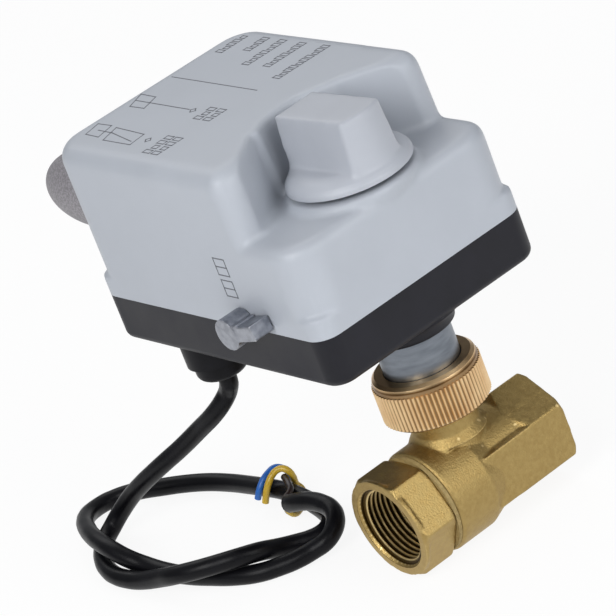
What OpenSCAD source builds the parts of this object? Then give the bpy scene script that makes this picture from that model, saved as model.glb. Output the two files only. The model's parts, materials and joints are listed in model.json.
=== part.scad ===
// Motorised zone valve: a two-piece brass ball valve under a gear-driven actuator.
// Everything is drawn in the valve's own frame: the stem axis is Z, the pipe axis is
// Y at z = 0, and X runs along the actuator case. home() moves that frame so that the
// origin is under the middle of the object, on the surface that it stands on.
// At rest the valve is closed: the handle and the ball's way lie across the pipe.

/* [Valve] */
// Across flats of the brass hexagons
hex_af = 31; // [30:0.5:33]
// Length of the valve from port face to port face
valve_len = 65; // [64:1:72]
// Minor radius of the pipe thread in the ports
port_r = 12.06; // [11.5:0.02:12.4]
// Depth of the pipe thread
port_depth = 15; // [12:0.5:15]
// Radius of the barrel around the ball
barrel_r = 17.6; // [17:0.1:18]
// Radius of the ball
ball_r = 12.7; // [12.4:0.1:12.8]
// Radius of the way through the ball
way_r = 8; // [6:0.5:8.2]
// Radius of the valve stem
stem_r = 5; // [4.6:0.1:5.2]

/* [Union] */
// Height of the union nut's lower face above the pipe axis
nut_z = 25.4; // [25:0.1:26]
// Height of the union nut
nut_h = 15.6; // [15.4:0.1:16.2]
// Outer radius of the union nut over its knurl
nut_r = 17.5; // [17.2:0.1:18.5]
// Number of ribs in the knurl
nut_ribs = 72; // [48:4:96]
// Outer radius of the neck sleeve
neck_r = 12.4; // [12.2:0.1:12.5]

/* [Case] */
// Distance from the stem axis to the right end of the case
case_right = 19.6; // [19.4:0.1:21]
// Length of the case
case_len = 116.4; // [116:0.2:122]
// Width of the case
case_w = 84.2; // [84:0.2:90]
// Height of the cover's top above the pipe axis
top_z = 127.3; // [126:0.1:130]
// Wall thickness of the mouldings
wall = 2.5; // [2.2:0.1:2.6]
// Length of the domed cap on the end of the case
dome_len = 28.8; // [26:0.2:32]

/* [Controls] */
// Radius of the manual knob's disc
knob_r = 20.2; // [19:0.1:20.4]
// Height of the top of the knob's handle
handle_z = 129; // [127:0.1:131]
// Reach of the release lever's arm from its axis
lever_reach = 14.2; // [12:0.2:16]
// Turn of the release lever's arm above the level
lever_tilt = 11; // [5:1:15]

/* [Cord] */
// Diameter of the power cord
cord_d = 6.2; // [5.8:0.1:6.2]
// Diameter of one insulated wire
wire_d = 2.3; // [2:0.1:2.3]

/* [Hidden] */
$fn = 72;
eps = 0.01;
fit = 0.05;
gap = 0.3;

// Valve, along Y
hex_r = hex_af / sqrt(3);
end_y = valve_len / 2;
adapter_y = -18.9;
barrel_y = -17.5;
socket_y = -10.5;
seat_y = 12.5;
chamber_r = 13;
spigot_r = 15.2;
bore_r = 9.2;
boss_r = 10.8;
boss_top = 36;
collar_r = 14.2;
collar_z = 26.8;
mouth_r = 13.6;
washer_z = 15;
ring_z = 37.5;
neck_screw_r = 13.7;

// Case
x1 = case_right;
x0 = case_right - case_len;
y1 = case_w / 2;
base_z = 58.3;
floor_z = base_z + wall;
seam_z = 74.7;
lip_z = 81.5;
ledge_z = 104;
corner_r = 7;
body_r = 12;
post_x = [x0 + 7, x1 - 7];
post_y = [7 - y1, y1 - 7];
post_r = 4;
post_h = 13;
screw_r = 1.5;
pocket_r = 22;
pocket_y = 31.5;
block_x = -5;
rear_wall_x = -24.5;

// Domed cap and the motor behind it
dome_r = 13;
dome_y = -26.4;
dome_z = 104.8;
dome_skirt = 7;
dome_screw_y = 11.8;
dome_screw_z = [-12.2, 12.2];
motor_r = 10.5;
gearbox_x = [-58, -41];

// Gear train, module 1: each gear's teeth and the place of its axis
teeth_out = 30;
teeth_pinion = 12;
teeth_second = 28;
teeth_small = 10;
teeth_first = 30;
second_x = -21;
first_pos = [-36, -11.66];
pinion_pos = [-49.52, dome_y];
out_gear_z = 66;
second_wheel_z = 73;
first_wheel_z = 82;
arbor_r = 1.5;

// Plates of the gear frame
lower_z = 62.6;
upper_z = 88;
plate_t = 1.5;
pillars = [[8, -26], [8.8, 21], [-46, 18], [-37.5, -35]];
shaft_low_r = 6.4;
shaft_top_r = 4.5;
square = 6.4;

// Limit switches on the upper plate
cam_z = 91;
cam_t = 4;
cam_r = 8;
lobe_r = 10.5;

// Release lever and the fork that it lifts
lever_x = -17;
lever_z = 77;
lever_shaft_r = 3;
lever_out = 8.4;
lever_inset = 0.3;
crank_r = 3.25;
crank_turn = -45;
fork_z = 71;
fork_t = 1.6;
fork_guides = [[-19, -17.5], [-9.5, -17.5]];

// Cord gland
gland = [-64, -29.7];
gland_z = 44;
clamp_z = 49.6;

// Origin under the middle of the object, on the surface that it stands on
low_z = -hex_r;
mid_x = (x0 - dome_len + knob_r) / 2;
mid_y = -lever_out / 2;

// Route of the cord from the gland to its cut end, in the valve's frame. It drops from
// the gland, lies down, and makes one and a half turns that cross in long low humps.
cord_route = [
  [-64, -29.7, 44], [-64, -29.7, 40.5], [-65.7, -29.4, 38], [-67.7, -29.4, 35.6], [-69.9, -31, 32.6],
  [-74.1, -33.1, 28.6], [-83.6, -35.7, 22], [-93.8, -39.4, 15], [-100.1, -42.1, 11],
  [-106.7, -44.3, 6.8], [-114.1, -46.2, 2], [-121.9, -48, -3.6], [-127.2, -50.9, -8.8],
  [-128.8, -52.7, -11], [-129.5, -54.8, -12.8], [-129.1, -57.3, -13.9], [-127.9, -59.9, -14.6],
  [-125.9, -62.3, -14.75], [-123.4, -64.6, -14.75], [-117.5, -68.7, -14.75], [-109.8, -72.1, -14.75],
  [-103.3, -73.4, -14.75], [-97.6, -73.2, -14.75], [-91.2, -72.3, -14.4], [-81.2, -70.9, -12.2],
  [-69.1, -69.3, -8.8], [-62.6, -65.4, -7.9], [-58.1, -60.4, -7.9], [-54.3, -55, -8.2],
  [-52.3, -48.7, -9.6], [-52.2, -41.6, -12.6], [-50.9, -36, -14.3], [-48.6, -32.1, -14.75],
  [-47.3, -28.3, -14.75], [-48.6, -24.1, -14.75], [-50.2, -22.2, -14.75], [-52.2, -20.5, -14.75],
  [-57.4, -18.6, -14.6], [-62.9, -17.7, -13.8], [-67.9, -17.4, -12.7], [-73.7, -17.3, -12.1],
  [-80.7, -17.4, -11.9], [-89.2, -17.8, -12.3], [-100.2, -17.7, -13.6], [-111.2, -18.4, -14.6],
  [-120, -20.7, -14.75], [-128.4, -24.5, -14.75], [-136, -29.1, -14.75], [-143.3, -33.9, -14.75],
  [-147.6, -38.4, -14.75], [-149.1, -41, -14.75], [-150, -43.7, -14.6], [-149.8, -46.3, -14.3],
  [-148.9, -48.8, -13.8], [-145.9, -53.5, -12.6], [-139.7, -58.6, -11], [-130.9, -63.1, -9.4],
  [-122, -66.5, -8.1], [-114, -68.5, -7.6], [-106.9, -69.3, -8.2], [-101.2, -68.5, -10.4],
  [-94.6, -66.3, -13.3], [-85.2, -64.8, -14.6], [-75.3, -63.1, -14.75], [-66.5, -60.5, -14.75],
  [-58, -57.3, -14.75], [-50.4, -52.6, -14.75], [-46.2, -47.4, -14.75], [-42.7, -42.3, -14.4],
  [-40.1, -37.1, -13.6], [-37.7, -33.6, -12.3], [-37.4, -30.4, -11], [-38.3, -27.6, -9.6],
  [-40.6, -25.2, -8.4], [-44.4, -23.5, -7.6], [-48.9, -22.9, -7.2], [-54.2, -22.9, -7.3],
  [-59.4, -23.4, -8], [-63.7, -23.7, -9.1], [-67.9, -23.6, -10.5]
];

// The wires leave the cut end. Two pass under the cord and hook back over it, and the
// short one goes straight over the top
wire_routes = [
  [[-67.7, -24.65, -11.34], [-68.9, -24.6, -11.99], [-69.04, -24.04, -13.7], [-69.64, -22.14, -15.7],
    [-71.24, -19.24, -16.45], [-73.45, -16.14, -16.45], [-76.15, -13.45, -16.1],
    [-77.85, -11.75, -14.5], [-78.8, -12.53, -12.2], [-77.38, -13.49, -8.2], [-77.41, -14.28, -5.7],
    [-78.99, -15.06, -4.6], [-80.48, -16.44, -4.7], [-81.18, -18.55, -5.7], [-81.69, -20.38, -7.5],
    [-82.67, -21.82, -10.3], [-83.63, -23.14, -13.8]],
  [[-67.75, -22.32, -10.96], [-69.19, -22.27, -11.54], [-70.84, -22.54, -12.4],
    [-72.84, -22.44, -14.8], [-74.34, -21.04, -16.35], [-76.14, -17.85, -16.45],
    [-78.35, -14.65, -16.45], [-80.45, -12.05, -16.3], [-82.15, -10.75, -15.5], [-82.6, -10.62, -14.4],
    [-81.83, -11.29, -10.7], [-82.51, -11.74, -8.3], [-84.2, -12.5, -7], [-85.59, -13.95, -6.3],
    [-85.89, -16.69, -6.6], [-86.03, -19.44, -7.8], [-86.44, -21.67, -10], [-87.72, -22.97, -13.2]],
  [[-68.39, -23.82, -9.25], [-69.81, -23.77, -9.57], [-70.56, -20.09, -8.3], [-72.94, -18.5, -7.5],
    [-76.32, -16.87, -7.2], [-78.09, -16.18, -6.9]]
];

// ---- Helpers

module home() translate([-mid_x, -mid_y, -low_z]) children();

// Turns a shape drawn along +Z to run along +Y, or along +X
module along_y(y) translate([0, y, 0]) rotate([-90, 0, 0]) children();
module along_x(x) translate([x, 0, 0]) rotate([0, 90, 0]) children();

module ring(ro, ri, h) {
  difference() {
    cylinder(r = ro, h = h);
    translate([0, 0, -1]) cylinder(r = ri, h = h + 2);
  }
}

// Plan of the case, pulled in all round, with its own corner radius
module plan(inset, r) {
  xa = x0 + inset;
  xb = x1 - inset;
  ya = inset - y1;
  yb = y1 - inset;
  translate([xa + r, ya]) square([xb - xa - 2 * r, yb - ya]);
  translate([xa, ya + r]) square([xb - xa, yb - ya - 2 * r]);
  for (x = [xa + r, xb - r], y = [ya + r, yb - r]) translate([x, y]) circle(r = r);
}

module slab(inset, r, z_low, z_high) {
  translate([0, 0, z_low]) linear_extrude(z_high - z_low) plan(inset, r);
}

// Upright round pillar whose top edge is rounded
module soft_pillar(r, edge, z_low, z_high) {
  translate([0, 0, z_low]) rotate_extrude($fn = 32) polygon([
    [0, 0], [r, 0],
    for (a = [0 : 15 : 90]) [r - edge + edge * cos(a), z_high - z_low - edge + edge * sin(a)],
    [0, z_high - z_low]
  ]);
}

// Block with the plan of the case and one rounded edge all round, above or below
module case_block(r, edge, z_low, z_high, below = false) {
  hull() for (x = [x0 + r, x1 - r], y = [r - y1, y1 - r]) translate([x, y, 0])
    if (below) translate([0, 0, z_low + z_high]) mirror([0, 0, 1]) soft_pillar(r, edge, z_low, z_high);
    else soft_pillar(r, edge, z_low, z_high);
}

// Machine screw, head down: its seat is at z = 0 and the shank points up
module screw(head_r, head_h, shank_l) {
  difference() {
    translate([0, 0, -head_h]) cylinder(r = head_r, h = head_h);
    for (a = [0, 90]) rotate(a) translate([-head_r * 0.6, -0.35, -head_h - eps])
      cube([head_r * 1.2, 0.7, head_h * 0.5]);
  }
  translate([0, 0, -eps]) cylinder(r = screw_r, h = shank_l);
}

// Flat gear of module 1 with straight flanks and some backlash
module gear2d(teeth) {
  root_r = teeth / 2 - 1.2;
  tip_r = teeth / 2 + 0.85;
  root_a = teeth < 15 ? 0.27 : 0.31;
  tip_a = teeth < 15 ? 0.09 : 0.12;
  step = 360 / teeth;
  polygon([
    for (i = [0 : teeth - 1], p = [[root_r, -root_a], [tip_r, -tip_a], [tip_r, tip_a], [root_r, root_a]])
      [p[0] * cos((i + p[1]) * step), p[0] * sin((i + p[1]) * step)]
  ]);
}

module gear(teeth, h) linear_extrude(h) gear2d(teeth);

// Turn of a gear that meshes with one whose teeth start at turn_a. The line between
// their axes points from the first gear along `bearing`.
function mesh_turn(bearing, turn_a, teeth_a, teeth_b) =
  bearing + 180 - 360 / teeth_b * (0.5 - (bearing - turn_a) * teeth_a / 360);

second_turn = mesh_turn(180, 0, teeth_out, teeth_pinion);
first_bearing = atan2(first_pos[1], first_pos[0] - second_x);
first_turn = mesh_turn(first_bearing, second_turn, teeth_second, teeth_small);
pinion_bearing = atan2(pinion_pos[1] - first_pos[1], pinion_pos[0] - first_pos[0]);
pinion_turn = mesh_turn(pinion_bearing, first_turn, teeth_first, teeth_small);

// Tube along a list of points: the section is carried along without twisting
function unit(v) = v / norm(v);
function heading(p, i) = unit(p[min(i + 1, len(p) - 1)] - p[max(i - 1, 0)]);
function square_to(n, t) = unit(n - (n * t) * t);

module tube(p, d, sides, first_side) {
  n = len(p);
  side = [
    for (i = 0, s = square_to(first_side, heading(p, 0)); i < n;
      i = i + 1, s = square_to(s, heading(p, min(i, n - 1)))) s
  ];
  points = [
    for (i = [0 : n - 1], k = [0 : sides - 1])
      let (a = 360 * k / sides)
        p[i] + d / 2 * (cos(a) * side[i] + sin(a) * cross(heading(p, i), side[i]))
  ];
  walls = [
    for (i = [0 : n - 2], k = [0 : sides - 1])
      [i * sides + k, i * sides + (k + 1) % sides, (i + 1) * sides + (k + 1) % sides, (i + 1) * sides + k]
  ];
  start_cap = [[for (k = [0 : sides - 1]) sides - 1 - k]];
  end_cap = [[for (k = [0 : sides - 1]) (n - 1) * sides + k]];
  polyhedron(points, [for (f = concat(start_cap, walls, end_cap)) [for (k = [len(f) - 1 : -1 : 0]) f[k]]]);
}

// ---- Valve

module valve_body() color("#b09a55") {
  difference() {
    union() {
      along_y(barrel_y) rotate_extrude() polygon([
        [0, 0], [barrel_r - 0.8, 0], [barrel_r, 0.8], [barrel_r, 15], [spigot_r + 0.2, 21.5],
        [spigot_r + 0.2, 38], [0, 38]
      ]);
      // Far hexagon, bevelled towards the barrel and at the port face
      intersection() {
        along_y(0) rotate(30) cylinder(r = hex_r, h = end_y, $fn = 6);
        along_y(16) rotate_extrude() polygon([
          [0, 0], [14.9, 0], [hex_r, 3], [hex_r, end_y - 17.3], [hex_r - 1.4, end_y - 16], [0, end_y - 16]
        ]);
      }
      // Its side and lower flats run on towards the barrel
      intersection() {
        along_y(-1) rotate(30) cylinder(r = hex_r, h = 21, $fn = 6);
        union() {
          translate([-20, -1, -hex_r / 2]) cube([40, 21, hex_r]);
          translate([-20, 8, -20]) cube([40, 12, 20]);
        }
      }
      cylinder(r = boss_r, h = collar_z + eps);
      translate([0, 0, 15.6]) cylinder(r1 = 13, r2 = boss_r, h = 3.2);
      translate([0, 0, collar_z]) cylinder(r = collar_r, h = boss_top - collar_z);
    }
    // Socket of the adapter, ball chamber, way out and port
    along_y(barrel_y - 1) cylinder(r = spigot_r + fit, h = socket_y - barrel_y + 1);
    along_y(socket_y - eps) cylinder(r = chamber_r, h = seat_y - socket_y);
    along_y(0) cylinder(r = bore_r, h = end_y);
    along_y(end_y - port_depth) cylinder(r = port_r, h = port_depth + 1);
    along_y(end_y - mouth_r + port_r) cylinder(r1 = port_r, r2 = mouth_r + 0.1, h = mouth_r - port_r + 0.1);
    // Stem bore, with room inside for the stem's flange and washer
    cylinder(r = 7.1, h = washer_z + 0.9);
    cylinder(r = stem_r + fit, h = boss_top + 1);
  }
}

module end_adapter() color("#b39c56") {
  difference() {
    union() {
      intersection() {
        along_y(-end_y) cylinder(r = hex_r, h = end_y + adapter_y, $fn = 6);
        along_y(-end_y) rotate_extrude() polygon([
          [0, 0], [hex_r - 1.3, 0], [hex_r, 1.3], [hex_r, end_y + adapter_y - 1.2],
          [hex_r - 1.6, end_y + adapter_y], [0, end_y + adapter_y]
        ]);
      }
      along_y(adapter_y - eps) cylinder(r = spigot_r, h = socket_y - adapter_y - 0.1);
    }
    along_y(-end_y - 1) cylinder(r = port_r, h = port_depth + 1);
    along_y(-end_y - 1) cylinder(r = bore_r, h = end_y);
    along_y(-end_y - 0.1) cylinder(r1 = mouth_r + 0.1, r2 = port_r, h = mouth_r - port_r + 0.1);
    along_y(-seat_y) cylinder(r = chamber_r - fit, h = 4);
  }
}

module adapter_seal() color("#8d8a80") along_y(adapter_y + 0.05) ring(16.9, spigot_r + 0.1, 1.3);

module seat_ring() {
  difference() {
    along_y(6.8) ring(chamber_r - 0.15, bore_r, seat_y - 6.85);
    sphere(r = ball_r + fit);
  }
}

module seat_far() color("#f0efe9") seat_ring();

module seat_near() color("#f0efe9") mirror([0, 1, 0]) seat_ring();

module ball() color("#c9ccd0") {
  difference() {
    sphere(r = ball_r);
    along_x(-20) cylinder(r = way_r, h = 40);
    translate([-2.6, -6.3, 9.4]) cube([5.2, 12.6, 5]);
  }
}

module valve_stem() color("#c2a75e") {
  translate([-2.5, -6, 9.6]) cube([5, 12, 3.4]);
  translate([0, 0, 12.95]) cylinder(r = 6.9, h = 2);
  difference() {
    translate([0, 0, 14.9]) cylinder(r = stem_r, h = 22);
    for (z = [20, 25]) translate([0, 0, z]) ring(stem_r + 1, stem_r - 1, 1.3);
  }
  translate([-square / 2, -square / 2, 36.8]) cube([square, square, 8.8]);
}

module stem_o_rings() color("#26262a") {
  for (z = [20, 25]) translate([0, 0, z + 0.65]) rotate_extrude() translate([stem_r - 0.48, 0])
    circle(r = 0.5, $fn = 16);
}

module stem_washer() color("#f0efe9") translate([0, 0, washer_z]) ring(6.9, stem_r + fit, 0.85);

// ---- Union between valve and actuator

module knurl2d() {
  root_r = nut_r - 0.52;
  polygon([
    for (i = [0 : nut_ribs - 1], p = [[root_r, -0.4], [nut_r, -0.12], [nut_r, 0.12], [root_r, 0.4]])
      [p[0] * cos((i + p[1]) * 360 / nut_ribs), p[0] * sin((i + p[1]) * 360 / nut_ribs)]
  ]);
}

module union_nut() color("#b98d5c") {
  difference() {
    translate([0, 0, nut_z]) union() {
      rotate_extrude() polygon([
        [0, 0], [nut_r - 1.1, 0], [nut_r - 0.5, 0.6], [nut_r - 0.5, nut_h - 2.2],
        [nut_r - 0.9, nut_h - 0.9], [nut_r - 1.9, nut_h], [0, nut_h]
      ]);
      translate([0, 0, 0.9]) linear_extrude(nut_h - 4.2) knurl2d();
    }
    translate([0, 0, nut_z - 1]) cylinder(r = collar_r + fit, h = boss_top - nut_z + 1);
    translate([0, 0, boss_top - eps]) cylinder(r = collar_r + gap, h = 2.8);
    translate([0, 0, nut_z]) cylinder(r = neck_r + gap, h = nut_h + 1);
  }
}

module nut_snap_ring() color("#9a9da2") {
  difference() {
    translate([0, 0, ring_z]) ring(13.9, neck_r - 0.75, 1);
    translate([0, -1.5, ring_z - 1]) cube([20, 3, 3]);
  }
}

module neck_sleeve() color("#9b9fa6") {
  difference() {
    union() {
      translate([0, 0, boss_top]) cylinder(r = neck_r, h = floor_z - boss_top + eps);
      translate([0, 0, floor_z]) cylinder(r = 16.4, h = 1.5);
    }
    translate([0, 0, 30]) cylinder(r = 9.5, h = 40);
    translate([0, 0, ring_z - 0.05]) ring(neck_r + 1, neck_r - 0.8, 1.1);
    for (a = [45 : 90 : 315]) rotate(a) translate([neck_screw_r, 0, floor_z - 1]) {
      cylinder(r = 1.1, h = 4);
      translate([0, 0, 1.5]) cylinder(r1 = 1.1, r2 = 2, h = 1 + eps);
    }
  }
}

// Countersunk, from inside the case into its floor
module neck_screws() color("#a7a9ad") {
  for (a = [45 : 90 : 315]) rotate(a) translate([neck_screw_r, 0, 0]) {
    translate([0, 0, floor_z - 1.8]) cylinder(r = 1.05, h = 2.4);
    translate([0, 0, floor_z + 0.5]) cylinder(r1 = 1.05, r2 = 1.95, h = 1);
  }
}

// ---- Case

// Everything that passes through the base's floor or the seam
module base_holes() {
  translate([0, 0, 40]) cylinder(r = neck_r + fit, h = 40);
  for (a = [45 : 90 : 315]) rotate(a) translate([neck_screw_r, 0, floor_z - 1.9]) cylinder(r = 1.1, h = 4);
  translate([gland[0], gland[1], 40]) cylinder(r = 8.05, h = 40);
  for (x = post_x, y = post_y) translate([x, y, base_z - 1]) {
    cylinder(r = screw_r + 0.2, h = 30);
    cylinder(r = 3.1, h = 4);
  }
  translate([lever_x, 0, lever_z]) along_y(-60) cylinder(r = lever_shaft_r + fit, h = 25);
}

module base_housing() color("#2e2d33") {
  difference() {
    union() {
      difference() {
        case_block(corner_r, 3, base_z, seam_z, true);
        slab(wall, corner_r - wall, floor_z, seam_z + 1);
      }
      translate([0, 0, 53.4]) cylinder(r = 14.8, h = base_z - 53.4 + eps);
      for (x = post_x, y = post_y) translate([x, y, base_z + 0.5]) cylinder(r = post_r, h = seam_z - base_z - 0.5);
      for (p = pillars) translate([p[0], p[1], base_z + 1]) cylinder(r = 3, h = lower_z - base_z - 1);
      for (x = [-90, -69], y = [-9, 27]) translate([x, y, base_z + 1]) cylinder(r = 2.5, h = 66 - base_z - 1);
    }
    base_holes();
    translate([0, 0, seam_z - 0.8]) linear_extrude(2) seal_path(fit);
  }
}

// Groove of the cover gasket, in plan, widened by the play
module seal_path(play) {
  difference() {
    plan(0.8 - play, corner_r - 0.8 + play);
    plan(1.7 + play, corner_r - 1.7 - play);
  }
}

module cover_gasket() color("#3a3a3c") {
  difference() {
    translate([0, 0, seam_z - 0.8]) linear_extrude(0.8) seal_path(0);
    translate([lever_x, 0, lever_z]) along_y(-60) cylinder(r = lever_shaft_r + gap, h = 25);
  }
}

// Outside of the cover: a lip, a ledge under the knob and a raised block
module cover_outside() {
  case_block(corner_r, 0.8, seam_z, lip_z);
  case_block(body_r, 3.5, lip_z - 1, ledge_z);
  hull() {
    for (y = [body_r - y1, y1 - body_r]) translate([x0 + body_r, y, 0])
      soft_pillar(body_r, 5.5, lip_z, top_z);
    for (y = [6 - y1, y1 - 6]) {
      translate([block_x - 2.9, y, 100]) cylinder(r = 6, h = 1, $fn = 32);
      translate([block_x - 6, y, 0]) soft_pillar(6, 5, 112, top_z);
    }
  }
}

// Pocket around the knob, cut down into the raised block and open to the right
module pocket() {
  hull() {
    translate([0, 0, ledge_z]) linear_extrude(0.1) pocket_plan(-2);
    translate([0, 0, ledge_z + 2.5]) linear_extrude(0.1) pocket_plan(0);
    translate([0, 0, top_z]) linear_extrude(2) pocket_plan(1);
  }
}

module pocket_plan(grow) {
  circle(r = pocket_r + grow);
  polygon([
    [-6, -pocket_y - grow], [30, -pocket_y - 12], [30, pocket_y + 12], [-6, pocket_y + grow],
    [-18, pocket_r - 6 + grow], [-18, 6 - pocket_r - grow]
  ]);
}

module cover() color("#b0b5be") {
  difference() {
    union() {
      difference() {
        cover_outside();
        pocket();
        slab(wall, corner_r - wall, seam_z - 1, lip_z - wall);
        slab(wall, body_r - wall, lip_z - wall - eps, ledge_z - wall);
        intersection() {
          slab(wall, body_r - wall, ledge_z - wall - eps, top_z - wall);
          translate([x0, -y1, seam_z]) cube([rear_wall_x - x0, 2 * y1, 60]);
        }
      }
      // Screw posts, each tied to its corner
      for (x = post_x, y = post_y) intersection() {
        union() {
          translate([x, y, seam_z]) cylinder(r = post_r, h = post_h);
          translate([x > -40 ? x : x - 6, y > 0 ? y : y - 6, seam_z]) cube([6, 6, post_h]);
        }
        slab(1, body_r - 1, seam_z, 110);
      }
    }
    for (x = post_x, y = post_y) translate([x, y, seam_z - 1]) cylinder(r = screw_r, h = post_h - 1);
    translate([0, 0, 90]) cylinder(r = 8, h = 30);
    translate([lever_x, 0, lever_z]) along_y(-60) cylinder(r = lever_shaft_r + fit, h = 25);
    translate([0, dome_y, dome_z]) along_x(x0 - 1) cylinder(r = dome_r + fit, h = dome_skirt + 1);
    for (z = dome_screw_z) translate([x0 + 1, dome_y + dome_screw_y, dome_z + z]) rotate([0, 90, 0])
      cylinder(r = 1, h = 4);
  }
}

module cover_screws() color("#a7a9ad") {
  for (x = post_x, y = post_y) translate([x, y, base_z + 3]) screw(2.9, 2, 21);
}

// Cap over the motor's tail. Its skirt fills a hole in the end wall and the rounded
// corner beside it, and a flange inside takes two screws.
module end_dome() color("#8c8a8e") difference() {
  union() {
    translate([0, dome_y, dome_z]) along_x(x0) rotate([180, 0, 0]) rotate_extrude() polygon([
      [0, -dome_skirt], [dome_r, -dome_skirt],
      for (a = [0 : 6 : 90]) [dome_r * cos(a), dome_len * sin(a)]
    ]);
    intersection() {
      translate([x0 + wall + fit, dome_y - 12.9, dome_z - 14.8]) cube([1.5, 27, 29.6]);
      slab(wall + fit, body_r - wall, seam_z, top_z);
    }
  }
  translate([0, dome_y, dome_z]) {
    along_x(x0 + dome_skirt + 1) rotate([180, 0, 0]) rotate_extrude() polygon([
      [0, 0], [dome_r - 1.5, 0], [dome_r - 1.5, dome_skirt + 1],
      for (a = [0 : 6 : 90]) [(dome_r - 1.5) * cos(a), dome_skirt + 1 + (dome_len - 1.5) * sin(a)]
    ]);
    for (z = dome_screw_z) translate([x0 + wall - 1, dome_screw_y, z]) rotate([0, 90, 0]) cylinder(r = 1.1, h = 4);
  }
}

module dome_screws() color("#a7a9ad") {
  for (z = dome_screw_z) translate([x0 + wall + 1.6, dome_y + dome_screw_y, dome_z + z]) rotate([0, 90, 0]) {
    cylinder(r = 1.9, h = 1.2);
    translate([0, 0, -2.6]) cylinder(r = 1, h = 2.7);
  }
}

// ---- Gear frame

module plate_holes() {
  for (p = pillars) translate([p[0], p[1], -1]) cylinder(r = screw_r, h = 4);
  translate([second_x, 0, -1]) cylinder(r = arbor_r, h = 4);
  translate([first_pos[0], first_pos[1], -1]) cylinder(r = arbor_r, h = 4);
  for (p = fork_guides) translate([p[0], p[1], -1]) cylinder(r = 1.2, h = 4);
}

module lower_plate() color("#b4b6ba") {
  translate([0, 0, lower_z]) difference() {
    union() {
      translate([-49, -31, 0]) cube([60.5, 56, plate_t]);
      translate([-46, -38, 0]) cube([12, 8, plate_t]);
    }
    plate_holes();
    translate([0, 0, -1]) cylinder(r = 8.6, h = 4);
  }
}

module upper_plate() color("#b4b6ba") {
  translate([0, 0, upper_z]) difference() {
    union() {
      translate([-60, -31, 0]) cube([71.5, 56, plate_t]);
      translate([-60, -38.4, 0]) cube([26, 8, plate_t]);
    }
    plate_holes();
    translate([0, 0, -1]) cylinder(r = 6.6, h = 4);
    translate([pinion_pos[0], pinion_pos[1], -1]) cylinder(r = 4, h = 4);
  }
}

module plate_pillars() color("#c3b27a") {
  for (p = pillars) translate([p[0], p[1], 0]) {
    translate([0, 0, lower_z + plate_t]) cylinder(r = 2.5, h = upper_z - lower_z - plate_t);
    translate([0, 0, lower_z]) cylinder(r = screw_r, h = plate_t + 1);
    translate([0, 0, upper_z - 1]) cylinder(r = screw_r, h = plate_t + 1);
    translate([0, 0, upper_z + plate_t]) cylinder(r = 2.6, h = 1.6, $fn = 6);
  }
}

module shaft_bushes() color("#a8753f") {
  translate([0, 0, lower_z]) ring(8.6, shaft_low_r + fit, 2.4);
  translate([0, 0, upper_z - 1]) ring(6.6, shaft_top_r + fit, plate_t + 1);
  translate([0, 0, upper_z - 1]) ring(7.6, shaft_top_r + fit, 1);
}

module output_shaft() color("#a9acb1") {
  difference() {
    union() {
      translate([0, 0, 38]) cylinder(r = shaft_low_r, h = out_gear_z - 0.4 - 38);
      translate([0, 0, out_gear_z - 0.5]) cylinder(r = shaft_top_r, h = ledge_z - out_gear_z + 0.9);
      translate([-3, -3, ledge_z]) cube([6, 6, 8]);
    }
    translate([-square / 2 - fit, -square / 2 - fit, 37]) cube([square + 2 * fit, square + 2 * fit, 9.4]);
  }
}

module output_gear() color("#c8ab5c") {
  translate([0, 0, out_gear_z]) difference() {
    union() {
      gear(teeth_out, 4);
      cylinder(r = 8, h = 6);
    }
    translate([0, 0, -1]) cylinder(r = shaft_top_r, h = 10);
  }
}

module switch_cam() color("#e8e4d8") {
  translate([0, 0, cam_z]) difference() {
    union() {
      cylinder(r = cam_r, h = cam_t);
      intersection() {
        cylinder(r = lobe_r, h = cam_t);
        translate([-20, -3, 0]) cube([20, 6, cam_t]);
      }
    }
    translate([0, 0, -1]) cylinder(r = shaft_top_r, h = 10);
  }
}

module second_gear() color("#d8c48a") {
  translate([second_x, 0, 0]) difference() {
    union() {
      translate([0, 0, out_gear_z - 0.1]) rotate(second_turn) gear(teeth_pinion, 4.4);
      translate([0, 0, 70]) cylinder(r = 4.5, h = 3.2);
      translate([0, 0, second_wheel_z]) rotate(second_turn) gear(teeth_second, 4);
    }
    translate([0, 0, 60]) cylinder(r = arbor_r + fit, h = 30);
  }
}

module second_arbor() color("#b9bcc2") translate([second_x, 0, lower_z]) cylinder(r = arbor_r, h = 29);

// Coil between the wheel and the upper plate
module clutch_spring() color("#8f9297") {
  coils = 5;
  steps = 14;
  low = second_wheel_z + 4.4;
  rise = (upper_z - 0.4 - low) / (coils * steps);
  translate([second_x, 0, low]) tube([
    for (i = [0 : coils * steps]) [2.1 * cos(360 * i / steps), 2.1 * sin(360 * i / steps), i * rise]
  ], 0.5, 6, [0, 0, 1]);
}

module first_gear() color("#d8c48a") {
  translate([first_pos[0], first_pos[1], 0]) difference() {
    union() {
      translate([0, 0, second_wheel_z - 0.2]) rotate(first_turn) gear(teeth_small, 9.3);
      translate([0, 0, first_wheel_z]) rotate(first_turn) gear(teeth_first, 4);
    }
    translate([0, 0, 60]) cylinder(r = arbor_r + fit, h = 30);
  }
}

module first_arbor() color("#b9bcc2") {
  translate([first_pos[0], first_pos[1], lower_z]) {
    cylinder(r = arbor_r, h = 29);
    translate([0, 0, plate_t]) cylinder(r = 2.6, h = second_wheel_z - 0.5 - lower_z - plate_t);
  }
}

// ---- Drive

module motor() color("#b8bbc0") {
  translate([0, dome_y, dome_z]) {
    along_x(-106) cylinder(r = motor_r, h = gearbox_x[0] + 106);
    along_x(-109.5) cylinder(r = 4, h = 4);
  }
}

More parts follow.
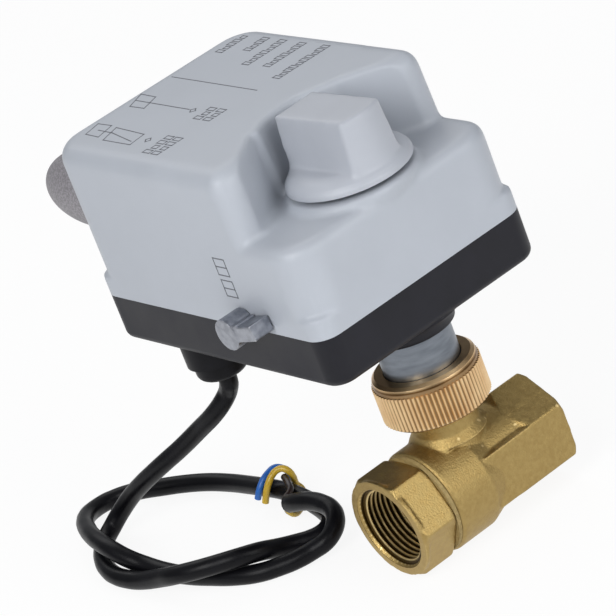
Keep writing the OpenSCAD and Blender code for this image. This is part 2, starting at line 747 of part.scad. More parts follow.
module motor_gearbox() color("#d9d6cc") {
  difference() {
    translate([gearbox_x[0], dome_y - 11.6, upper_z + plate_t])
      cube([gearbox_x[1] - gearbox_x[0], 23.2, 27.5]);
    translate([pinion_pos[0], pinion_pos[1], 80]) cylinder(r = arbor_r + fit, h = 24);
  }
}

module motor_pinion() color("#a9acb1") {
  translate([pinion_pos[0], pinion_pos[1], 0]) {
    translate([0, 0, first_wheel_z - 0.3]) rotate(pinion_turn) gear(teeth_small, 4.8);
    translate([0, 0, first_wheel_z]) cylinder(r = arbor_r, h = 21);
  }
}

module capacitor() color("#2f4a7a") translate([-82, 18, 67.6]) {
  soft_pillar(6.5, 1, 0, 26);
}

module switch_case(turn) {
  rotate(turn) translate([12.9, -6.5, upper_z + plate_t]) difference() {
    cube([6.4, 13, 6.4]);
    translate([-1, 4.9, cam_z - upper_z - plate_t + 0.4]) cube([4.5, 3.2, 3.2]);
  }
}

module switch_closed() color("#26262a") switch_case(180);

module switch_open() color("#26262a") switch_case(270);

module button(turn) {
  rotate(turn) translate([lobe_r + gap, -1.3, cam_z + 0.7]) cube([4, 2.6, 2.6]);
}

module closed_button() color("#c6452f") button(180);

module open_button() color("#c6452f") button(270);

module circuit_board() color("#2f6b3f") {
  translate([-93, -12, 66]) difference() {
    cube([27, 42, 1.6]);
    for (x = [3, 24], y = [3, 39]) translate([x, y, -1]) cylinder(r = 1, h = 4);
  }
}

module relay() color("#2b5fa8") translate([-91, -5, 67.6]) cube([9, 15, 12]);

module terminal_block() color("#3f8f4f") {
  translate([-79, -10, 67.6]) difference() {
    cube([9, 18, 10]);
    for (y = [3, 9, 15]) translate([4.5, y, 4]) cylinder(r = 1.7, h = 7);
    for (y = [3, 9, 15]) translate([5, y, 3]) rotate([0, 90, 0]) cylinder(r = 1.3, h = 6);
  }
}

// ---- Manual release

module release_lever() color("#8f9094") {
  translate([lever_x, 0, lever_z]) {
    along_y(-y1 - lever_out) cylinder(r = 5.2, h = lever_out - gap);
    rotate([0, -lever_tilt, 0]) translate([0, -y1 - lever_out + lever_inset, -2.8]) difference() {
      cube([lever_reach, lever_out - gap - 2 * lever_inset, 5.6]);
      translate([7, -1, 5]) cube([10, 12, 2]);
    }
    difference() {
      along_y(-y1 - 1) cylinder(r = lever_shaft_r, h = y1 + 1 - 24);
      along_y(-y1 + wall + 0.3) ring(5, lever_shaft_r - 0.7, 1);
    }
    along_y(-24) cylinder(r = 4.6, h = 2.2);
    rotate([0, -crank_turn, 0]) translate([crank_r, 0, 0]) along_y(-22) cylinder(r = 1.2, h = 5);
  }
}

module lever_clip() color("#9a9da2") {
  translate([lever_x, 0, lever_z]) difference() {
    along_y(-y1 + wall + 0.35) ring(5, lever_shaft_r - 0.65, 0.9);
    translate([-1.6, -y1, -6]) cube([3.2, 6, 6]);
  }
}

module release_fork() color("#c9cbd0") {
  difference() {
    union() {
      translate([second_x, 0, fork_z]) cylinder(r = 8.3, h = fork_t);
      translate([second_x - 3, -19.4, fork_z]) cube([15.5, 6, fork_t]);
      translate([second_x - 3, -14, fork_z]) cube([8, 9, fork_t]);
      for (p = fork_guides) translate([p[0], p[1], fork_z]) cylinder(r = 2.2, h = 5.4);
      // Ear with the slot that the lever's crank pin lifts
      translate([-17, -19.5, fork_z]) cube([6, 2, 6.6]);
    }
    translate([second_x, 0, fork_z - 1]) cylinder(r = 4.8, h = 4);
    translate([second_x - 4.8, 0, fork_z - 1]) cube([9.6, 12, 4]);
    for (p = fork_guides) translate([p[0], p[1], fork_z - 1]) cylinder(r = 1.2 + fit, h = 9);
    translate([-16.1, -21, lever_z - crank_r * sin(45) - 1.5]) cube([4, 5, 3]);
  }
}

module fork_pins() color("#b9bcc2") {
  for (p = fork_guides) translate([p[0], p[1], lower_z]) cylinder(r = 1.2, h = upper_z + plate_t - lower_z);
}

module manual_knob() color("#aeb3bc") {
  difference() {
    union() {
      rotate_extrude() polygon([
        [0, 108.6], [knob_r - 0.4, 108.6], [knob_r - 0.4, 108], [knob_r, 108.2], [knob_r - 0.2, 109.2],
        [knob_r - 1.2, 110.8], [knob_r - 3.2, 112.3], [knob_r - 6, 113], [0, 113]
      ]);
      rotate(3) hull() {
        for (x = [-14, 14.6], y = [-6, 6.4]) translate([x, y, handle_z - 3]) sphere(r = 3, $fn = 24);
        for (x = [-16, 14.6], y = [-5.5, 7.5]) translate([x, y, 112]) cylinder(r = 2.5, h = 1, $fn = 24);
      }
      translate([0, 0, ledge_z + 0.6]) cylinder(r = 6.2, h = 5);
    }
    translate([-3, -3, 100]) cube([6, 6, 12]);
    translate([0, 0, 107]) ring(knob_r - 2, 12, 3.5);
  }
}

module shaft_seal() color("#3a3a3c") {
  translate([0, 0, ledge_z - wall]) ring(8, shaft_top_r + 0.1, wall);
}

// ---- Cord gland

module gland_body() color("#26262a") translate([gland[0], gland[1], 0]) {
  difference() {
    union() {
      translate([0, 0, clamp_z + 0.4]) cylinder(r = 10.4, h = base_z - clamp_z - 0.4);
      translate([0, 0, base_z - eps]) cylinder(r = 8, h = 6.7);
      translate([0, 0, clamp_z - 2.6]) cylinder(r = 6.6, h = 4);
    }
    translate([0, 0, 40]) cylinder(r = cord_d / 2 + 0.1, h = 30);
    translate([0, 0, clamp_z - 3]) cylinder(r = 5, h = 7);
  }
}

module gland_seal() color("#4a4a4e") translate([gland[0], gland[1], clamp_z - 2]) ring(4.95, cord_d / 2, 5);

module gland_nut() color("#222226") translate([gland[0], gland[1], 0]) {
  difference() {
    translate([0, 0, gland_z]) rotate_extrude() polygon([
      [0, 0], [6, 0], for (a = [-90 : 15 : 0]) [6 + 2.7 * cos(a), 2.7 + 2.7 * sin(a)],
      [8.7, clamp_z - gland_z + 0.3], [0, clamp_z - gland_z + 0.3]
    ]);
    translate([0, 0, 40]) cylinder(r = cord_d / 2 + 0.1, h = 30);
    translate([0, 0, clamp_z - 2.7]) cylinder(r = 6.7, h = 10);
  }
}

module gland_locknut() color("#222226") translate([gland[0], gland[1], floor_z]) difference() {
  cylinder(r = 11.2, h = 3, $fn = 6);
  translate([0, 0, -1]) cylinder(r = 8, h = 5);
}

module sheath_end() color("#222226") {
  translate([gland[0], gland[1], gland_z]) cylinder(r = cord_d / 2, h = 24);
}

module inner_leads() color("#c98f2c") {
  for (i = [0 : 2]) {
    a = 180 - 120 * i;
    start = [gland[0] + 1.4 * cos(a), gland[1] + 1.4 * sin(a), 68];
    clamp_y = 6 * i - 7;
    tube([
      start, start + [0, 0, 3.5 + 1.5 * i], [-66 + 2.3 * i, -24, 74 + 2.5 * i],
      [-66.5 + 2.5 * i, -16, 75 + 2.5 * i], [-66.5 + 2.2 * i, clamp_y - 4, 73.5 + 2 * i],
      [-67.5 + i, clamp_y - 0.6, 71.8 + 0.7 * i], [-69.9, clamp_y, 70.6], [-72, clamp_y, 70.6]
    ], 1.6, 8, [1, 0, 0]);
  }
}

// ---- Cord and wires

module power_cord() color("#1d1d21") tube(cord_route, cord_d, 12, [1, 0, 0]);

module wire_blue() color("#2f6fb5") tube(wire_routes[1], wire_d, 8, [0, 0, 1]);

module wire_yellow() color("#c9b04a") tube(wire_routes[0], wire_d, 8, [0, 0, 1]);

module wire_brown() color("#4a3226") tube(wire_routes[2], wire_d, 8, [0, 0, 1]);

// ---- Nodes

home() valve_body();
home() end_adapter();
home() adapter_seal();
home() seat_near();
home() seat_far();
home() ball();
home() valve_stem();
home() stem_o_rings();
home() stem_washer();
home() union_nut();
home() nut_snap_ring();
home() neck_sleeve();
home() neck_screws();
home() base_housing();
home() cover();
home() cover_gasket();
home() cover_screws();
home() end_dome();
home() dome_screws();
home() lower_plate();
home() upper_plate();
home() plate_pillars();
home() shaft_bushes();
home() output_shaft();
home() output_gear();
home() switch_cam();
home() second_gear();
home() second_arbor();
home() clutch_spring();
home() first_gear();
home() first_arbor();
home() motor();
home() motor_gearbox();
home() motor_pinion();
home() capacitor();
home() switch_closed();
home() switch_open();
home() closed_button();
home() open_button();
home() circuit_board();
home() relay();
home() terminal_block();
home() release_lever();
home() lever_clip();
home() release_fork();
home() fork_pins();
home() manual_knob();
home() shaft_seal();
home() gland_body();
home() gland_seal();
home() gland_nut();
home() gland_locknut();
home() sheath_end();
home() inner_leads();
home() power_cord();
home() wire_blue();
home() wire_yellow();
home() wire_brown();
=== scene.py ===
# %% [markdown]
# # A motorised zone valve, dressed in Blender
# The solids come from the CAD model. Here they get their looks: soft moulded edges,
# cast and machined brass, a cord that lies on the table, and studio light. All of the
# shapes are worked out in millimetres in the valve's own frame (stem axis Z, pipe
# axis Y at height 0) and turned to metres in the row's frame at the end.

# %% Load the frame
import json
from math import atan2, cos, pi, radians, sin

import bmesh
import bpy
from mathutils import Matrix, Quaternion, Vector


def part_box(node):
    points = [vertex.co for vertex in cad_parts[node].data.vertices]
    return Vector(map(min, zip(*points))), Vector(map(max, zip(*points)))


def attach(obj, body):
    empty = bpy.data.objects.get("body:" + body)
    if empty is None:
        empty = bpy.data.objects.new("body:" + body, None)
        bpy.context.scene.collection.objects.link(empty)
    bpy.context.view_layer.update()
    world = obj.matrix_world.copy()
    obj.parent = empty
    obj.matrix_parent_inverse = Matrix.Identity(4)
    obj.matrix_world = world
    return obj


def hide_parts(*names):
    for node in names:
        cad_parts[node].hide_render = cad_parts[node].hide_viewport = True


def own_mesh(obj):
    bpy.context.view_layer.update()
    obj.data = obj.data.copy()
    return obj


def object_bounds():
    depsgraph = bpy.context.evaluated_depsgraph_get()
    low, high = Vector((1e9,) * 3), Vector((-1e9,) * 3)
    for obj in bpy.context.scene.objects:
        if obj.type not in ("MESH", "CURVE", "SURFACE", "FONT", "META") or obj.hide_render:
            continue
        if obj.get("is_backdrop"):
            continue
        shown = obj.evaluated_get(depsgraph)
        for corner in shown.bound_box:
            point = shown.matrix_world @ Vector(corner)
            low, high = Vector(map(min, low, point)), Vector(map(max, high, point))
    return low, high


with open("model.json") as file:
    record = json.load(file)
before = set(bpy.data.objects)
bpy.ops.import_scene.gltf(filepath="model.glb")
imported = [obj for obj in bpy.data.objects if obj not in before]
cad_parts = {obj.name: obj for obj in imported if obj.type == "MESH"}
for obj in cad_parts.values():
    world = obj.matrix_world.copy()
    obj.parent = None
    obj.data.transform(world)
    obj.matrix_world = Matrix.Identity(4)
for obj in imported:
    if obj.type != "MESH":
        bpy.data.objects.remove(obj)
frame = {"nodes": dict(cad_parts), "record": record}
bpy.context.view_layer.update()
MM = 0.001
HOME = Vector((52.7, 4.2, 17.898)) * MM
TO_ROW = Matrix.Translation(HOME) @ Matrix.Scale(MM, 4)
scene = bpy.context.scene

# %% [markdown]
# ## Camera
# A long lens from the front right and above. The valve stands upright here, and the
# camera is rolled, so that the valve leans in the picture.

# %% Camera
camera = bpy.data.objects.new("camera", bpy.data.cameras.new("camera"))
camera.data.sensor_width = 36
camera.data.lens = 215.2
camera.data.clip_end = 10
camera.location = TO_ROW @ Vector((865.0, -541.1, 510.6))
level = Vector((-0.79095, 0.46665, -0.39578)).to_track_quat("-Z", "Y")
camera.rotation_mode = "QUATERNION"
camera.rotation_quaternion = level @ Quaternion((0, 0, 1), radians(-21.29))
scene.collection.objects.link(camera)
scene.camera = camera

# %% [markdown]
# ## The cord and its three wires
# A round PVC cord of 6.2 mm leaves the gland, drops in a soft S to the table, and
# lies there in one and a half turns that ride over each other. Its jacket is cut
# square, and three wires leave the cut. The yellow and the blue one duck under the
# cord and hook back over it, and the brown one is a short stub.
# A curve with a round bevel keeps the thickness even through every bend, so each is
# a Bezier curve through the points of its route, which are those of the CAD model.

# %% Routes, in millimetres in the valve's frame
CORD_ROUTE = [
    (-64, -29.7, 44), (-64, -29.7, 40.5), (-65.7, -29.4, 38), (-67.7, -29.4, 35.6), (-69.9, -31, 32.6),
    (-74.1, -33.1, 28.6), (-83.6, -35.7, 22), (-93.8, -39.4, 15), (-100.1, -42.1, 11),
    (-106.7, -44.3, 6.8), (-114.1, -46.2, 2), (-121.9, -48, -3.6), (-127.2, -50.9, -8.8),
    (-128.8, -52.7, -11), (-129.5, -54.8, -12.8), (-129.1, -57.3, -13.9), (-127.9, -59.9, -14.6),
    (-125.9, -62.3, -14.75), (-123.4, -64.6, -14.75), (-117.5, -68.7, -14.75), (-109.8, -72.1, -14.75),
    (-103.3, -73.4, -14.75), (-97.6, -73.2, -14.75), (-91.2, -72.3, -14.4), (-81.2, -70.9, -12.2),
    (-69.1, -69.3, -8.8), (-62.6, -65.4, -7.9), (-58.1, -60.4, -7.9), (-54.3, -55, -8.2),
    (-52.3, -48.7, -9.6), (-52.2, -41.6, -12.6), (-50.9, -36, -14.3), (-48.6, -32.1, -14.75),
    (-47.3, -28.3, -14.75), (-48.6, -24.1, -14.75), (-50.2, -22.2, -14.75), (-52.2, -20.5, -14.75),
    (-57.4, -18.6, -14.6), (-62.9, -17.7, -13.8), (-67.9, -17.4, -12.7), (-73.7, -17.3, -12.1),
    (-80.7, -17.4, -11.9), (-89.2, -17.8, -12.3), (-100.2, -17.7, -13.6), (-111.2, -18.4, -14.6),
    (-120, -20.7, -14.75), (-128.4, -24.5, -14.75), (-136, -29.1, -14.75), (-143.3, -33.9, -14.75),
    (-147.6, -38.4, -14.75), (-149.1, -41, -14.75), (-150, -43.7, -14.6), (-149.8, -46.3, -14.3),
    (-148.9, -48.8, -13.8), (-145.9, -53.5, -12.6), (-139.7, -58.6, -11), (-130.9, -63.1, -9.4),
    (-122, -66.5, -8.1), (-114, -68.5, -7.6), (-106.9, -69.3, -8.2), (-101.2, -68.5, -10.4),
    (-94.6, -66.3, -13.3), (-85.2, -64.8, -14.6), (-75.3, -63.1, -14.75), (-66.5, -60.5, -14.75),
    (-58, -57.3, -14.75), (-50.4, -52.6, -14.75), (-46.2, -47.4, -14.75), (-42.7, -42.3, -14.4),
    (-40.1, -37.1, -13.6), (-37.7, -33.6, -12.3), (-37.4, -30.4, -11), (-38.3, -27.6, -9.6),
    (-40.6, -25.2, -8.4), (-44.4, -23.5, -7.6), (-48.9, -22.9, -7.2), (-54.2, -22.9, -7.3),
    (-59.4, -23.4, -8), (-63.7, -23.7, -9.1), (-67.9, -23.6, -10.5),
]
WIRE_ROUTES = {
    "yellow": [
        (-67.7, -24.65, -11.34), (-68.9, -24.6, -11.99), (-69.04, -24.04, -13.7),
        (-69.64, -22.14, -15.7), (-71.24, -19.24, -16.45), (-73.45, -16.14, -16.45),
        (-76.15, -13.45, -16.1), (-77.85, -11.75, -14.5), (-78.8, -12.53, -12.2),
        (-77.38, -13.49, -8.2), (-77.41, -14.28, -5.7), (-78.99, -15.06, -4.6), (-80.48, -16.44, -4.7),
        (-81.18, -18.55, -5.7), (-81.69, -20.38, -7.5), (-82.67, -21.82, -10.3),
        (-83.63, -23.14, -13.8),
    ],
    "blue": [
        (-67.75, -22.32, -10.96), (-69.19, -22.27, -11.54), (-70.84, -22.54, -12.4),
        (-72.84, -22.44, -14.8), (-74.34, -21.04, -16.35), (-76.14, -17.85, -16.45),
        (-78.35, -14.65, -16.45), (-80.45, -12.05, -16.3), (-82.15, -10.75, -15.5),
        (-82.6, -10.62, -14.4), (-81.83, -11.29, -10.7), (-82.51, -11.74, -8.3), (-84.2, -12.5, -7),
        (-85.59, -13.95, -6.3), (-85.89, -16.69, -6.6), (-86.03, -19.44, -7.8), (-86.44, -21.67, -10),
        (-87.72, -22.97, -13.2),
    ],
    "brown": [
        (-68.39, -23.82, -9.25), (-69.81, -23.77, -9.57), (-70.56, -20.09, -8.3),
        (-72.94, -18.5, -7.5), (-76.32, -16.87, -7.2), (-78.09, -16.18, -6.9),
    ],
}


# %% Draw them
def strand(name, route, diameter, steps):
    """A round strand on one smooth curve through the points of its route. Its thickness is
    in the points' radius, which Blender also counts in the object's box."""
    curve = bpy.data.curves.new(name, "CURVE")
    curve.dimensions = "3D"
    curve.resolution_u = steps
    curve.bevel_depth = 1.0
    curve.bevel_resolution = 6
    curve.use_fill_caps = True
    spline = curve.splines.new("BEZIER")
    spline.bezier_points.add(len(route) - 1)
    for point, place in zip(spline.bezier_points, route):
        point.co = TO_ROW @ Vector(place)
        point.handle_left_type = point.handle_right_type = "AUTO"
        point.radius = diameter / 2 * MM
    strand_object = bpy.data.objects.new(name, curve)
    scene.collection.objects.link(strand_object)
    return strand_object


def metres(route, pieces=12):
    """Length of the smooth curve through a route, close to the Bezier's own."""
    total = 0.0
    for i in range(len(route) - 1):
        a, b = Vector(route[i]), Vector(route[i + 1])
        before = Vector(route[max(i - 1, 0)])
        after = Vector(route[min(i + 2, len(route) - 1)])
        last = a
        for k in range(1, pieces + 1):
            t = k / pieces
            out, back = (b - before) / 2, (after - a) / 2
            here = ((2 * t**3 - 3 * t**2 + 1) * a + (t**3 - 2 * t**2 + t) * out
                    + (3 * t**2 - 2 * t**3) * b + (t**3 - t**2) * back)
            total += (here - last).length
            last = here
    return total * MM


CORD_D, WIRE_D = 6.2, 2.3
SHORTEST_CORD = 30 * MM
cord = strand("cord", CORD_ROUTE, CORD_D, 5)
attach(cord, "housing")
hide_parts("power_cord")
wires = {}
for colour, route in WIRE_ROUTES.items():
    wire = strand("lead_" + colour, route, WIRE_D, 4)
    if metres(route) < SHORTEST_CORD:  # a stub this short keeps its shape, so it is a rigid piece
        curve = wire.data
        bpy.context.view_layer.update()
        mesh = bpy.data.meshes.new_from_object(wire.evaluated_get(bpy.context.evaluated_depsgraph_get()))
        bpy.data.objects.remove(wire)
        bpy.data.curves.remove(curve)
        mesh.shade_smooth()
        mesh.set_sharp_from_angle(angle=radians(40))
        wire = bpy.data.objects.new("lead_" + colour, mesh)
        scene.collection.objects.link(wire)
    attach(wire, "housing")
    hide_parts("wire_" + colour)
    wires[colour] = wire
print("cord", round(metres(CORD_ROUTE) / MM), "mm long, wires",
      {c: round(metres(r) / MM) for c, r in WIRE_ROUTES.items()})

# %% [markdown]
# ## Floor, world and lamps
# A plain white table. Seen by the camera and in reflections it is white paper, and a
# part of it is left to catch the soft shadow of the valve. The world is an even white
# tent, a little darker low down, and three wide lamps give the mouldings their shape.


# %% Node helper
def add(tree, kind, **settings):
    """Adds one node: a socket is linked, an input's name takes a value, the rest are settings."""
    made = tree.nodes.new("ShaderNode" + kind)
    for name, value in settings.items():
        key = name.replace("_", " ")
        if key in made.inputs and isinstance(value, bpy.types.NodeSocket):
            tree.links.new(value, made.inputs[key])
        elif key in made.inputs:
            made.inputs[key].default_value = value
        else:
            setattr(made, name, value)
    return made


def linear(hexa):
    """Linear colour of an sRGB hex value."""
    parts = [int(hexa[i:i + 2], 16) / 255 for i in (1, 3, 5)]
    return (*[p / 12.92 if p <= 0.04045 else ((p + 0.055) / 1.055) ** 2.4 for p in parts], 1)


# %% Floor
GLOW_SHARE = 0.9  # how much of the table is plain white, and the rest takes the shadow
paper = bpy.data.materials.new("white paper table")
paper.use_nodes = True
tree = paper.node_tree
tree.nodes.clear()
path = add(tree, "LightPath")
seen = add(tree, "Math", operation="MAXIMUM")
tree.links.new(path.outputs["Is Camera Ray"], seen.inputs[0])
tree.links.new(path.outputs["Is Glossy Ray"], seen.inputs[1])
seen_too = add(tree, "Math", operation="MAXIMUM")
tree.links.new(seen.outputs[0], seen_too.inputs[0])
tree.links.new(path.outputs["Is Transmission Ray"], seen_too.inputs[1])
share = add(tree, "Math", operation="MULTIPLY")
tree.links.new(seen_too.outputs[0], share.inputs[0])
share.inputs[1].default_value = GLOW_SHARE
matt = add(tree, "BsdfDiffuse", Color=linear("#FFFFFF"))
glow = add(tree, "Emission", Color=(1, 1, 1, 1), Strength=1.0)
both = add(tree, "MixShader")
tree.links.new(share.outputs[0], both.inputs[0])
tree.links.new(matt.outputs[0], both.inputs[1])
tree.links.new(glow.outputs[0], both.inputs[2])
out = add(tree, "OutputMaterial")
tree.links.new(both.outputs[0], out.inputs["Surface"])

bm = bmesh.new()
bmesh.ops.create_grid(bm, x_segments=1, y_segments=1, size=4)
floor_mesh = bpy.data.meshes.new("floor")
bm.to_mesh(floor_mesh)
bm.free()
floor = bpy.data.objects.new("floor", floor_mesh)
floor.location = (0, 0, -0.0001)  # just under the cord, so that the two never touch
floor.data.materials.append(paper)
scene.collection.objects.link(floor)
floor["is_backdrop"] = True

# %% World
TENT_STRENGTH = 0.42
world = bpy.data.worlds.new("light tent")
scene.world = world
world.use_nodes = True
tree = world.node_tree
sky = tree.nodes["Background"]
place = add(tree, "TexCoord")
height = add(tree, "SeparateXYZ", Vector=place.outputs["Generated"])
fade = add(tree, "ValToRGB", Fac=height.outputs["Z"])
fade.color_ramp.elements[0].position = 0.0
fade.color_ramp.elements[0].color = linear("#9C9FA4")
fade.color_ramp.elements[1].position = 0.6
fade.color_ramp.elements[1].color = linear("#F2F4F8")
tree.links.new(fade.outputs["Color"], sky.inputs["Color"])
sky.inputs["Strength"].default_value = TENT_STRENGTH


# %% Lamps
def lamp(name, azimuth, elevation, distance, width, watts):
    """A square soft lamp aimed at the middle of the valve."""
    a, e = radians(azimuth), radians(elevation)
    middle = TO_ROW @ Vector((-30, 0, 50))
    away = Vector((sin(a) * cos(e), -cos(a) * cos(e), sin(e)))
    data = bpy.data.lights.new(name, "AREA")
    data.shape = "SQUARE"
    data.size = width
    data.energy = watts
    light = bpy.data.objects.new(name, data)
    light.location = middle + away * distance
    light.rotation_mode = "QUATERNION"
    light.rotation_quaternion = (-away).to_track_quat("-Z", "Y")
    scene.collection.objects.link(light)


lamp("key lamp", 25, 34, 1.1, 0.6, 7.1)
lamp("side lamp", 105, 26, 1.2, 0.9, 6.1)
lamp("back lamp", 250, 45, 1.3, 0.9, 3.8)

# %% [markdown]
# ## Modelling helpers
# The mouldings and castings have no sharp edge anywhere. Each is made from a few plain
# solids that overlap. A voxel remesh melts them into one skin, and smoothing then wears
# the edges and fills the inner corners, as a draft and a fillet do in the real mould.
# Machined faces are cut afterwards with booleans, so they stay crisp.


# %% Solids in millimetres
def block(low, high):
    """A box between two corners, as its own bmesh."""
    low, high = Vector(low), Vector(high)
    bm = bmesh.new()
    size = Matrix.Diagonal((*(high - low), 1))
    bmesh.ops.create_cube(bm, size=1, matrix=Matrix.Translation((low + high) / 2) @ size)
    return bm


def lathe(profile, steps=96):
    """Half a profile of (radius, height) points spun about Z."""
    bm = bmesh.new()
    verts = [bm.verts.new((r, 0, z)) for r, z in profile]
    edges = [bm.edges.new(pair) for pair in zip(verts, verts[1:])]
    bmesh.ops.spin(bm, geom=verts + edges, cent=(0, 0, 0), axis=(0, 0, 1), angle=2 * pi,
                   steps=steps, use_merge=True)
    bmesh.ops.remove_doubles(bm, verts=bm.verts, dist=1e-4)
    bmesh.ops.recalc_face_normals(bm, faces=bm.faces)
    return bm


def rod(radius, start, end, steps=64):
    """A plain round bar between two heights."""
    return lathe([(0, start), (radius, start), (radius, end), (0, end)], steps)


ALONG_Y = Matrix.Rotation(radians(-90), 4, "X")
ALONG_X = Matrix.Rotation(radians(90), 4, "Y")


def placed(bm, matrix):
    """The same bmesh, turned or moved."""
    bmesh.ops.transform(bm, matrix=matrix, verts=bm.verts)
    return bm


def round_edges(bm, test, radius, segments=6):
    """Bevels the edges whose two ends both pass a test on their place."""
    edges = [e for e in bm.edges if all(test(v.co) for v in e.verts)]
    bmesh.ops.bevel(bm, geom=edges, offset=radius, offset_type="OFFSET", segments=segments,
                    profile=0.5, affect="EDGES", material=-1)
    return bm


# %% Joining, melting and cutting
COARSE, MEDIUM, FINE = 0.7, 0.42, 0.25  # voxels in mm, for a case, a casting and a small part


def scratch(bm):
    """An object made from a bmesh, for a modifier to work on."""
    mesh = bpy.data.meshes.new("scratch")
    bm.to_mesh(mesh)
    bm.free()
    made = bpy.data.objects.new("scratch", mesh)
    scene.collection.objects.link(made)
    return made


def worked(made, *spare):
    """The bmesh that an object's modifiers give. The object and its tools are removed."""
    bm = bmesh.new()
    bm.from_object(made, bpy.context.evaluated_depsgraph_get())
    for thing in (made, *spare):
        mesh = thing.data
        bpy.data.objects.remove(thing)
        bpy.data.meshes.remove(mesh)
    return bm


def together(*parts):
    """Several bmeshes as one, still overlapping."""
    whole = bmesh.new()
    for part in parts:
        mesh = bpy.data.meshes.new("part")
        part.to_mesh(mesh)
        part.free()
        whole.from_mesh(mesh)
        bpy.data.meshes.remove(mesh)
    return whole


def melt(bm, voxel, passes):
    """One closed skin round everything in the bmesh, with its edges worn soft."""
    made = scratch(bm)
    skin = made.modifiers.new("skin", "REMESH")
    skin.mode = "VOXEL"
    skin.voxel_size = voxel
    wear = made.modifiers.new("wear", "SMOOTH")
    wear.factor = 0.5
    wear.iterations = passes
    return worked(made)


def carve(bm, *tools, operation="DIFFERENCE"):
    """Takes closed solids away from another, or adds them to it."""
    for tool in tools:
        made, cutter = scratch(bm), scratch(tool)
        cut = made.modifiers.new("cut", "BOOLEAN")
        cut.object = cutter
        cut.operation = operation
        cut.solver = "MANIFOLD"
        bm = worked(made, cutter)
    return bm


def wear_where(bm, test, passes):
    """Smooths only the points that pass a test on their place."""
    verts = [v for v in bm.verts if test(v.co)]
    for _ in range(passes):
        bmesh.ops.smooth_vert(bm, verts=verts, factor=0.5, use_axis_x=True, use_axis_y=True,
                              use_axis_z=True)
    return bm


def trim(bm, point, normal):
    """Cuts the mesh at a plane, keeps the side that the normal points to, and closes it."""
    geom = bm.verts[:] + bm.edges[:] + bm.faces[:]
    cut = bmesh.ops.bisect_plane(bm, geom=geom, plane_co=point, plane_no=normal, clear_inner=True)
    edges = [e for e in cut["geom_cut"] if isinstance(e, bmesh.types.BMEdge)]
    bmesh.ops.contextual_create(bm, geom=edges)
    bmesh.ops.recalc_face_normals(bm, faces=bm.faces)
    return bm


def node_copy(node):
    """A CAD node's mesh as a closed bmesh, back in the valve's frame in millimetres."""
    bm = bmesh.new()
    bm.from_mesh(frame["nodes"][node].data)
    placed(bm, TO_ROW.inverted())
    bmesh.ops.remove_doubles(bm, verts=bm.verts, dist=0.004)
    return bm


def piece(name, bm, body, stands_for=(), sharp=35, even=False):
    """Turns a bmesh into a finished piece in metres that rides on a CAD body."""
    placed(bm, TO_ROW)
    mesh = bpy.data.meshes.new(name)
    bm.to_mesh(mesh)
    bm.free()
    mesh.shade_smooth()
    mesh.set_sharp_from_angle(angle=radians(sharp))
    made = bpy.data.objects.new(name, mesh)
    scene.collection.objects.link(made)
    if even:
        made.modifiers.new("even shading", "WEIGHTED_NORMAL").keep_sharp = True
    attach(made, body)
    if stands_for:
        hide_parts(*stands_for)
    print(name, len(mesh.polygons), "faces")
    return made


# %% [markdown]
# ## The cover
# A moulded lid in cool grey plastic: a lip with tight corners over the seam, walls with
# wider corners, a ledge under the knob and a raised block behind it, hollowed by a
# pocket that opens towards the knob's end. Three bevelled boxes, a low boss and two
# cutters give the form, and the melt gives it the soft inner corners that a bevel can't.

# %% Case sizes
LEFT, RIGHT, SIDE = -96.8, 19.6, 42.1
SEAM, LIP, LEDGE, TOP = 74.7, 81.5, 104.0, 127.3
WALL = 2.5
RIM_Z = 108.2
DOME_Y, DOME_Z = -26.4, 104.8
LEVER_X, LEVER_Z = -17.0, 77.0


def case_block(right, low, high, left_r, right_r, edge, lean=0.0):
    """A box with the case's plan: rounded corners, a rounded top edge, a leaning end."""
    bm = block((LEFT, -SIDE, low), (right, SIDE, high))
    for v in bm.verts:
        if v.co.x > LEFT and v.co.z > low:
            v.co.x -= lean
    upright = [e for e in bm.edges if abs(e.verts[0].co.z - e.verts[1].co.z) > 1]
    for end_r, side in ((left_r, -1), (right_r, 1)):
        middle = (LEFT + right) / 2
        edges = [e for e in upright if e.is_valid and (e.verts[0].co.x > middle) == (side > 0)]
        bmesh.ops.bevel(bm, geom=edges, offset=end_r, offset_type="OFFSET", segments=10,
                        profile=0.5, affect="EDGES", material=-1)
    round_edges(bm, lambda p: p.z > high - 0.01, edge)
    return bm


# %% Melt and hollow the cover
raised = case_block(-1.9, LIP, TOP, 12, 6, 5.5, lean=3.1)
bowl = lathe([(0, LEDGE), (20, LEDGE), (21.3, LEDGE + 0.7), (22, LEDGE + 2.5), (23, TOP + 2),
              (0, TOP + 2)])
flare = block((-18, -44, LEDGE), (30, 44, TOP + 2))
for v in flare.verts:
    half = (16.0 if v.co.x < 0 else 78.0) + (0.8 if v.co.z > 120 else -0.8)
    v.co.y = half if v.co.y > 0 else -half
round_edges(flare, lambda p: p.z < LEDGE + 0.01, 2.0)
raised = carve(raised, bowl, flare)
# A low round boss under the knob's rim, so that only a thin dark gap stays below it
boss = lathe([(0, 99.5), (19.2, 99.5), (21.2, 104.6), (21.3, 105.4), (21, 106.1), (20.5, 106.5),
              (0, 106.5)])
shell = melt(together(case_block(RIGHT, SEAM - 4, LIP, 7, 7, 0.8),
                      case_block(RIGHT, LIP - 3, LEDGE, 12, 12, 3.5), raised, boss), COARSE, 2)
wear_where(shell, lambda p: p.z > LEDGE - 6 and p.x > -30, 10)
shell = trim(shell, (0, 0, SEAM), (0, 0, 1))


